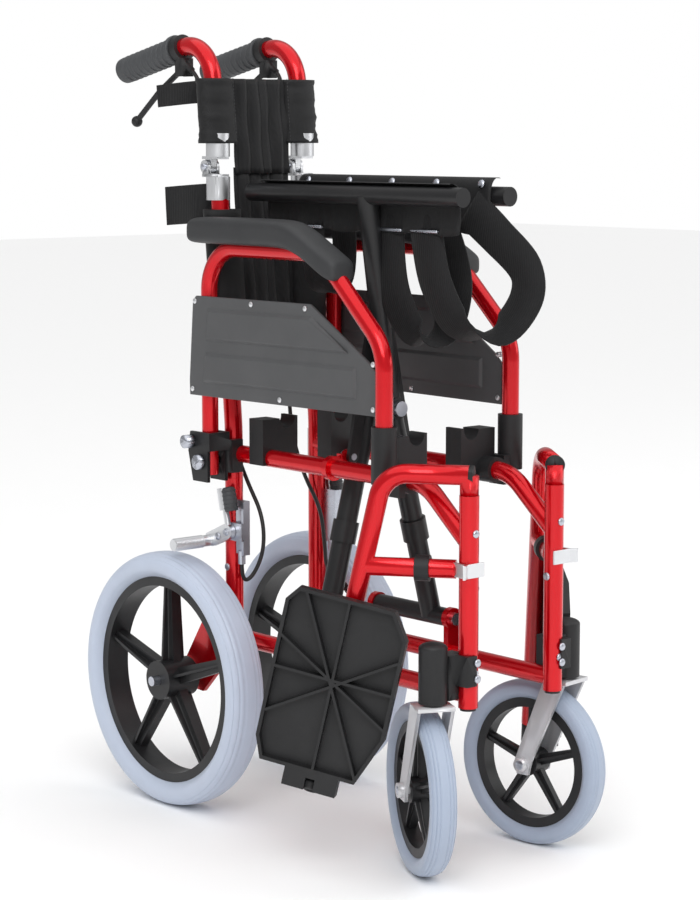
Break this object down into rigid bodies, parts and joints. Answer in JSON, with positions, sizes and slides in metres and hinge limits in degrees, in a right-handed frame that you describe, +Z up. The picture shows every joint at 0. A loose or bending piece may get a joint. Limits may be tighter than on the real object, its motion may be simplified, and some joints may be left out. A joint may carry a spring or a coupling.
{
  "type": "folding transit wheelchair",
  "caption": "Folding attendant-propelled wheelchair: tube side frames on a scissor cross-brace, spoked wheels, swivel castors, flip-back armrests and swing-away footrests.",
  "frame": {"origin": "on the floor, at the middle of the folded chair's box", "axes": "+X the user's left, -Y forward, +Z up"},
  "size_m": [0.4614, 0.6752, 0.9446],
  "materials": {
    "red_frame": "gloss",
    "black_plastic": "satin",
    "rim_plastic": "satin",
    "zinc_steel": "satin",
    "grey_tyre": "satin",
    "castor_tyre": "satin",
    "silver_fork": "satin",
    "black_metal": "satin",
    "bright_aluminium": "satin",
    "grip_rubber": "matte",
    "black_fabric": "woven",
    "cable_rubber": "satin",
    "pad_foam": "matte",
    "skirt_plastic": "satin"
  },
  "bodies": {
    "right_frame": {"right_side_frame": "red_frame", "right_frame_plastics": "black_plastic", "right_armrest_bracket": "black_plastic", "right_frame_hardware": "zinc_steel", "right_castor_housing": "black_plastic", "right_back_hinge_lower": "bright_aluminium", "right_brake_cable": "cable_rubber"},
    "left_frame": {"left_side_frame": "red_frame", "left_frame_plastics": "black_plastic", "left_armrest_bracket": "black_plastic", "left_frame_hardware": "zinc_steel", "left_castor_housing": "black_plastic", "left_back_hinge_lower": "bright_aluminium", "left_brake_cable": "cable_rubber"},
    "right_cross": {"right_cross_tube": "black_metal", "left_seat_rail": "black_metal", "centre_pivot_bolt": "zinc_steel", "seat_sling": "black_fabric"},
    "left_cross": {"left_cross_tube": "black_metal", "right_seat_rail": "black_metal"},
    "right_link": {"right_link_bar": "black_metal"},
    "right_rear_wheel": {"right_rear_rim": "rim_plastic", "right_rear_tyre": "grey_tyre"},
    "right_castor": {"right_castor_fork": "silver_fork"},
    "right_castor_wheel": {"right_castor_rim": "rim_plastic", "right_castor_tyre": "castor_tyre"},
    "right_armrest": {"right_armrest_tube": "red_frame", "right_arm_pad": "pad_foam", "right_skirt_guard": "skirt_plastic"},
    "right_back_upper": {"right_back_hinge_upper": "bright_aluminium", "right_handle_tube": "red_frame", "right_hand_grip": "grip_rubber", "right_brake_perch": "black_plastic", "right_back_sleeve": "black_fabric"},
    "right_back_mid_lower": {"right_back_panel_lower": "black_fabric"},
    "right_back_mid_upper": {"right_back_panel_upper": "black_fabric"},
    "right_brake_lever": {"right_brake_lever": "black_metal"},
    "right_brake_arm": {"right_brake_arm": "bright_aluminium"},
    "right_hanger": {"right_hanger": "red_frame"},
    "right_footplate": {"right_footplate": "black_plastic"},
    "left_link": {"left_link_bar": "black_metal"},
    "left_rear_wheel": {"left_rear_rim": "rim_plastic", "left_rear_tyre": "grey_tyre"},
    "left_castor": {"left_castor_fork": "silver_fork"},
    "left_castor_wheel": {"left_castor_rim": "rim_plastic", "left_castor_tyre": "castor_tyre"},
    "left_armrest": {"left_armrest_tube": "red_frame", "left_arm_pad": "pad_foam", "left_skirt_guard": "skirt_plastic"},
    "left_back_upper": {"left_back_hinge_upper": "bright_aluminium", "left_handle_tube": "red_frame", "left_hand_grip": "grip_rubber", "left_brake_perch": "black_plastic", "left_back_sleeve": "black_fabric"},
    "left_back_mid_lower": {"left_back_panel_lower": "black_fabric"},
    "left_back_mid_upper": {"left_back_panel_upper": "black_fabric"},
    "left_brake_lever": {"left_brake_lever": "black_metal"},
    "left_brake_arm": {"left_brake_arm": "bright_aluminium"},
    "left_hanger": {"left_hanger": "red_frame"},
    "left_footplate": {"left_footplate": "black_plastic"}
  },
  "joints": [
    {"name": "fold", "type": "hinge", "parent": "right_frame", "child": "right_cross", "pos_m": [-0.066, -0.0575, 0.255], "axis": [0, 1, 0], "range_deg": [0, 51.4]},
    {"name": "cross_pivot", "type": "hinge", "parent": "right_cross", "child": "left_cross", "pos_m": [0, -0.0765, 0.508], "axis": [0, -1, 0], "range_deg": [0, 103], "deforming": ["seat_sling"]},
    {"name": "left_foot_pivot", "type": "hinge", "parent": "left_cross", "child": "left_frame", "pos_m": [0.066, -0.0955, 0.255], "axis": [0, 1, 0], "range_deg": [0, 51.5]},
    {"name": "right_link_pivot", "type": "hinge", "parent": "right_frame", "child": "right_link", "pos_m": [-0.042, -0.0765, 0.452], "axis": [0, 1, 0], "range_deg": [0, 103]},
    {"name": "right_wheel_spin", "type": "hinge", "parent": "right_frame", "child": "right_rear_wheel", "pos_m": [-0.117, 0.1765, 0.1575], "axis": [1, 0, 0], "continuous": true},
    {"name": "right_castor_swivel", "type": "hinge", "parent": "right_frame", "child": "right_castor", "pos_m": [-0.104, -0.2825, 0.2], "axis": [0, 0, -1], "range_deg": [-5, 240]},
    {"name": "right_castor_spin", "type": "hinge", "parent": "right_castor", "child": "right_castor_wheel", "pos_m": [-0.08427, -0.24205, 0.0975], "axis": [0.8988, -0.4384, 0], "continuous": true},
    {"name": "right_armrest_flip", "type": "hinge", "parent": "right_frame", "child": "right_armrest", "pos_m": [-0.098, 0.1215, 0.432], "axis": [-1, 0, 0], "range_deg": [0, 95]},
    {"name": "right_back_fold", "type": "hinge", "parent": "right_frame", "child": "right_back_upper", "pos_m": [-0.066, 0.16006, 0.785], "axis": [-1, 0, 0], "range_deg": [0, 100], "deforming": ["right_brake_cable"]},
    {"name": "right_back_mid_lower_slide", "type": "slide", "parent": "right_frame", "child": "right_back_mid_lower", "axis": [1, 0, 0], "range_m": [0, 0.1734]},
    {"name": "right_back_mid_upper_slide", "type": "slide", "parent": "right_back_upper", "child": "right_back_mid_upper", "axis": [1, 0, 0], "range_m": [0, 0.1734]},
    {"name": "right_brake_lever_pull", "type": "hinge", "parent": "right_back_upper", "child": "right_brake_lever", "pos_m": [-0.066, 0.21533, 0.90173], "axis": [1, 0, 0], "range_deg": [0, 8]},
    {"name": "right_brake_arm_pivot", "type": "hinge", "parent": "right_frame", "child": "right_brake_arm", "pos_m": [-0.085, 0.1035, 0.346], "axis": [-1, 0, 0], "range_deg": [0, 27.05]},
    {"name": "right_hanger_swing", "type": "hinge", "parent": "right_frame", "child": "right_hanger", "pos_m": [-0.066, -0.2985, 0.4], "axis": [0, 0, 1], "range_deg": [0, 143]},
    {"name": "right_footplate_flip", "type": "hinge", "parent": "right_hanger", "child": "right_footplate", "pos_m": [-0.18804, -0.17311, 0.10727], "axis": [0.5871, -0.7791, -0.2198], "range_deg": [0, 90]},
    {"name": "left_link_pivot", "type": "hinge", "parent": "left_frame", "child": "left_link", "pos_m": [0.042, -0.0765, 0.452], "axis": [0, -1, 0], "range_deg": [0, 103]},
    {"name": "left_wheel_spin", "type": "hinge", "parent": "left_frame", "child": "left_rear_wheel", "pos_m": [0.117, 0.1765, 0.1575], "axis": [1, 0, 0], "continuous": true},
    {"name": "left_castor_swivel", "type": "hinge", "parent": "left_frame", "child": "left_castor", "pos_m": [0.104, -0.2825, 0.2], "axis": [0, 0, 1], "range_deg": [-5, 240]},
    {"name": "left_castor_spin", "type": "hinge", "parent": "left_castor", "child": "left_castor_wheel", "pos_m": [0.09774, -0.23794, 0.0975], "axis": [0.9903, 0.1392, 0], "continuous": true},
    {"name": "left_armrest_flip", "type": "hinge", "parent": "left_frame", "child": "left_armrest", "pos_m": [0.098, 0.1215, 0.432], "axis": [-1, 0, 0], "range_deg": [0, 95]},
    {"name": "left_back_fold", "type": "hinge", "parent": "left_frame", "child": "left_back_upper", "pos_m": [0.066, 0.16006, 0.785], "axis": [-1, 0, 0], "range_deg": [0, 100.1], "deforming": ["left_brake_cable"]},
    {"name": "left_back_mid_lower_slide", "type": "slide", "parent": "left_frame", "child": "left_back_mid_lower", "axis": [-1, 0, 0], "range_m": [0, 0.1734]},
    {"name": "left_back_mid_upper_slide", "type": "slide", "parent": "left_back_upper", "child": "left_back_mid_upper", "axis": [-1, 0, 0], "range_m": [0, 0.1734]},
    {"name": "left_brake_lever_pull", "type": "hinge", "parent": "left_back_upper", "child": "left_brake_lever", "pos_m": [0.066, 0.21533, 0.90173], "axis": [1, 0, 0], "range_deg": [0, 8]},
    {"name": "left_brake_arm_pivot", "type": "hinge", "parent": "left_frame", "child": "left_brake_arm", "pos_m": [0.085, 0.1035, 0.346], "axis": [-1, 0, 0], "range_deg": [0, 27.05]},
    {"name": "left_hanger_swing", "type": "hinge", "parent": "left_frame", "child": "left_hanger", "pos_m": [0.066, -0.2985, 0.4], "axis": [0, 0, -1], "range_deg": [0, 143]},
    {"name": "left_footplate_flip", "type": "hinge", "parent": "left_hanger", "child": "left_footplate", "pos_m": [0.18804, -0.17311, 0.10727], "axis": [0.5871, 0.7791, 0.2198], "range_deg": [0, 90]}
  ],
  "couplings": [
    {"joint": "cross_pivot", "follows": "fold", "ratio": 2},
    {"joint": "left_foot_pivot", "follows": "fold", "ratio": 1},
    {"joint": "right_link_pivot", "follows": "fold", "ratio": 2},
    {"joint": "right_back_mid_lower_slide", "follows": "fold", "m_per_rad": 0.19273},
    {"joint": "right_back_mid_upper_slide", "follows": "fold", "m_per_rad": 0.19273},
    {"joint": "right_brake_arm_pivot", "follows": "right_brake_lever_pull", "ratio": 3.375},
    {"joint": "left_link_pivot", "follows": "fold", "ratio": 2},
    {"joint": "left_back_mid_lower_slide", "follows": "fold", "m_per_rad": 0.19273},
    {"joint": "left_back_mid_upper_slide", "follows": "fold", "m_per_rad": 0.19273},
    {"joint": "left_brake_arm_pivot", "follows": "left_brake_lever_pull", "ratio": 3.375},
    {"joint": "left_back_fold", "follows": "right_back_fold", "ratio": 1}
  ]
}
